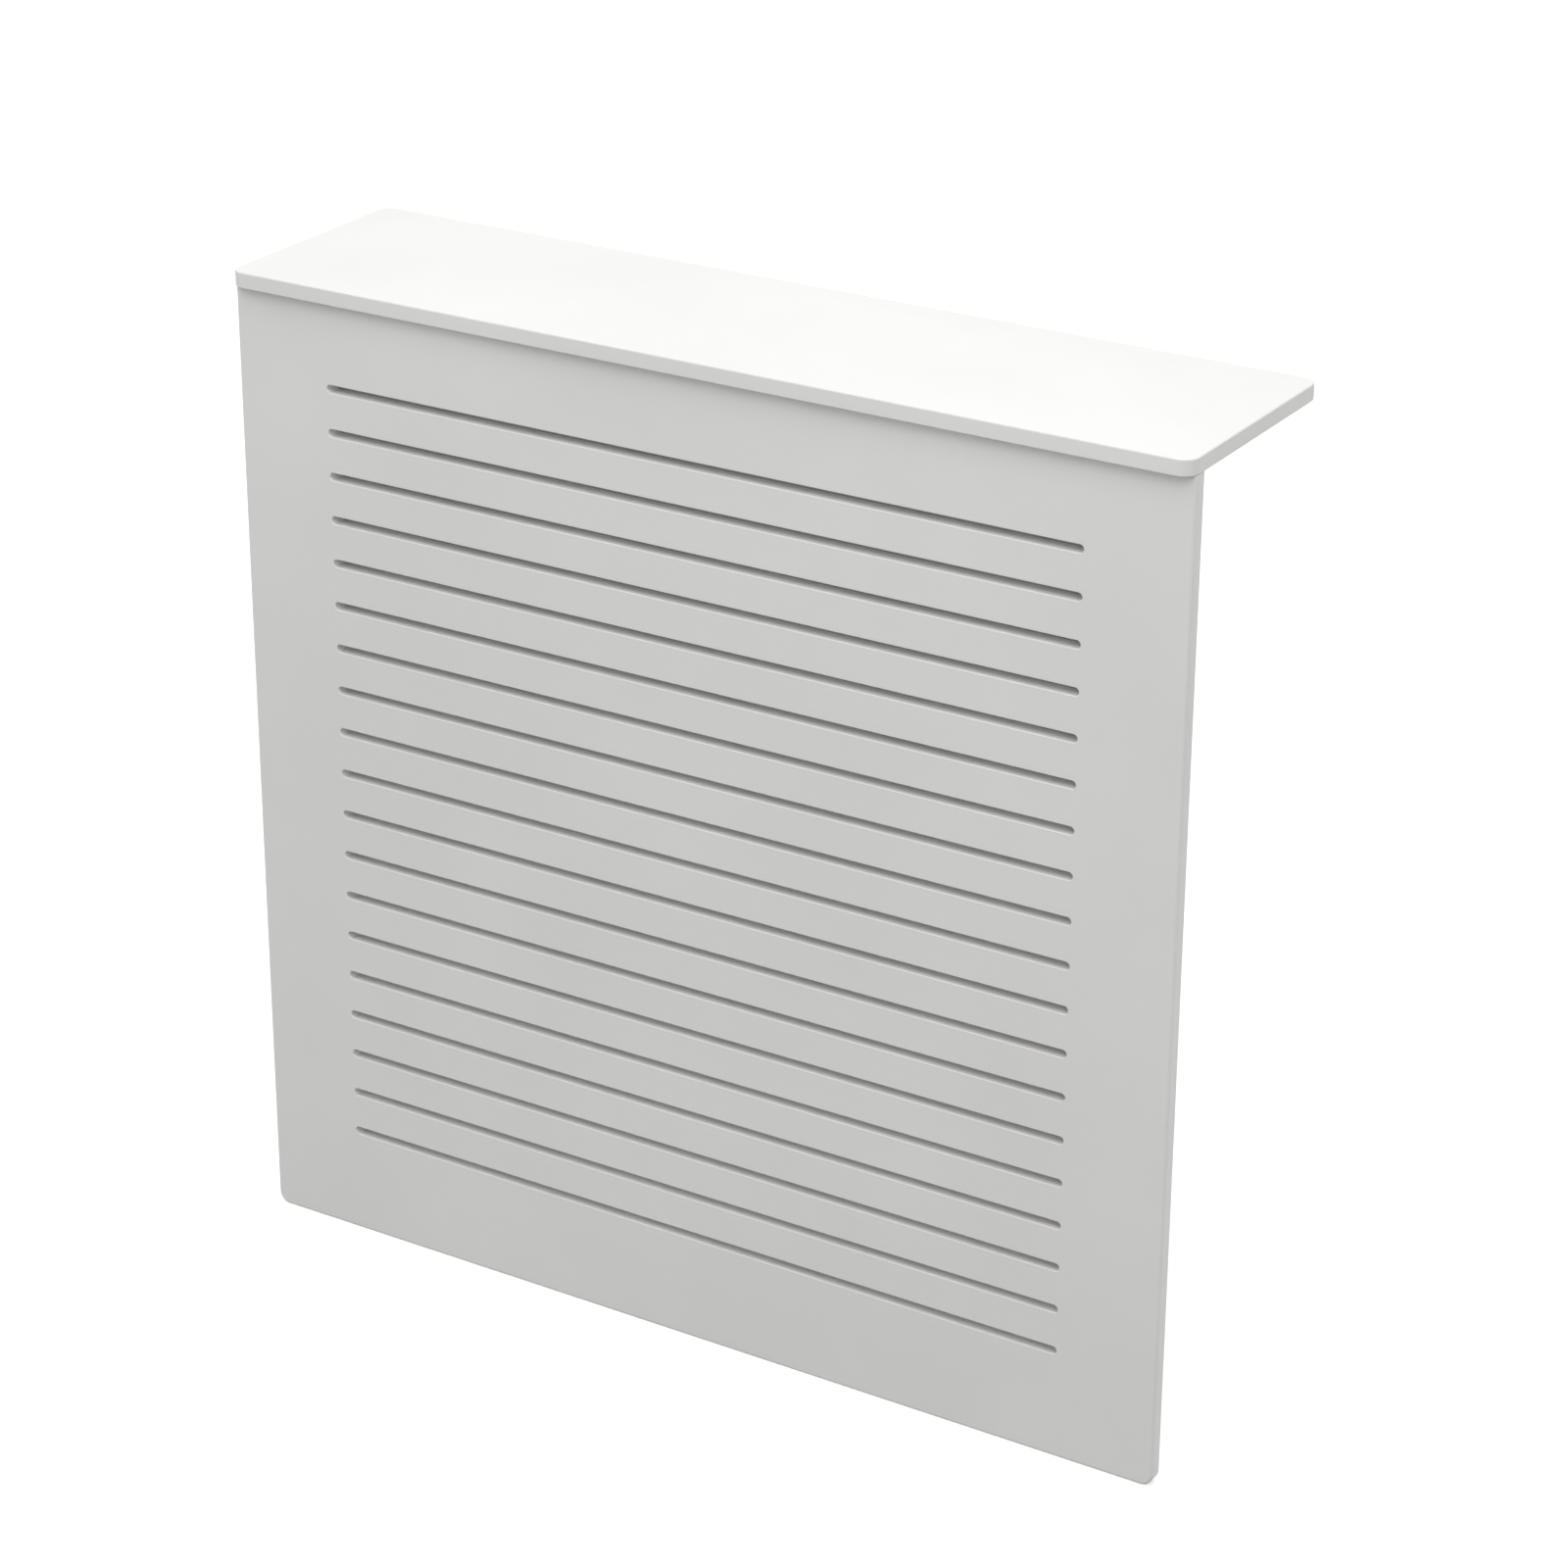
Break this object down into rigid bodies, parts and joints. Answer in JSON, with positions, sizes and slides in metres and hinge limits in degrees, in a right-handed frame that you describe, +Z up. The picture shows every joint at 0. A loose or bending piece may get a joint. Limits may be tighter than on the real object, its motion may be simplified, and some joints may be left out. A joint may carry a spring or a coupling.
{
  "type": "radiator cover",
  "caption": "Open-sided radiator cover: a white slotted front panel under a wall shelf board, with steel corner braces and slotted wall brackets.",
  "frame": {"origin": "floor level, in the middle of the length and of the depth from the board's front edge to the wall", "axes": "+X along the wall to the right as seen from the room, +Y towards the wall, +Z up"},
  "size_m": [1, 0.248, 0.998],
  "materials": {
    "white_lacquer": "smooth satin lacquer on fibreboard",
    "white_powder_coat": "white powder coat with a fine texture",
    "zinc_plate": "bright zinc plate",
    "beech": "bare turned beech"
  },
  "bodies": {
    "root": {"top_board": "white_lacquer", "front_panel": "white_lacquer", "dowel_1": "beech", "dowel_2": "beech", "dowel_3": "beech", "corner_brace_1": "zinc_plate", "corner_brace_1_board_screw_1": "zinc_plate", "corner_brace_1_board_screw_2": "zinc_plate", "corner_brace_1_panel_screw_1": "zinc_plate", "corner_brace_1_panel_screw_2": "zinc_plate", "corner_brace_2": "zinc_plate", "corner_brace_2_board_screw_1": "zinc_plate", "corner_brace_2_board_screw_2": "zinc_plate", "corner_brace_2_panel_screw_1": "zinc_plate", "corner_brace_2_panel_screw_2": "zinc_plate", "corner_brace_3": "zinc_plate", "corner_brace_3_board_screw_1": "zinc_plate", "corner_brace_3_board_screw_2": "zinc_plate", "corner_brace_3_panel_screw_1": "zinc_plate", "corner_brace_3_panel_screw_2": "zinc_plate", "corner_brace_4": "zinc_plate", "corner_brace_4_board_screw_1": "zinc_plate", "corner_brace_4_board_screw_2": "zinc_plate", "corner_brace_4_panel_screw_1": "zinc_plate", "corner_brace_4_panel_screw_2": "zinc_plate", "wall_bracket_left": "white_powder_coat", "wall_bracket_left_screw_1": "zinc_plate", "wall_bracket_left_screw_2": "zinc_plate", "wall_bracket_middle": "white_powder_coat", "wall_bracket_middle_screw_1": "zinc_plate", "wall_bracket_middle_screw_2": "zinc_plate", "wall_bracket_right": "white_powder_coat", "wall_bracket_right_screw_1": "zinc_plate", "wall_bracket_right_screw_2": "zinc_plate"}
  },
  "joints": []
}
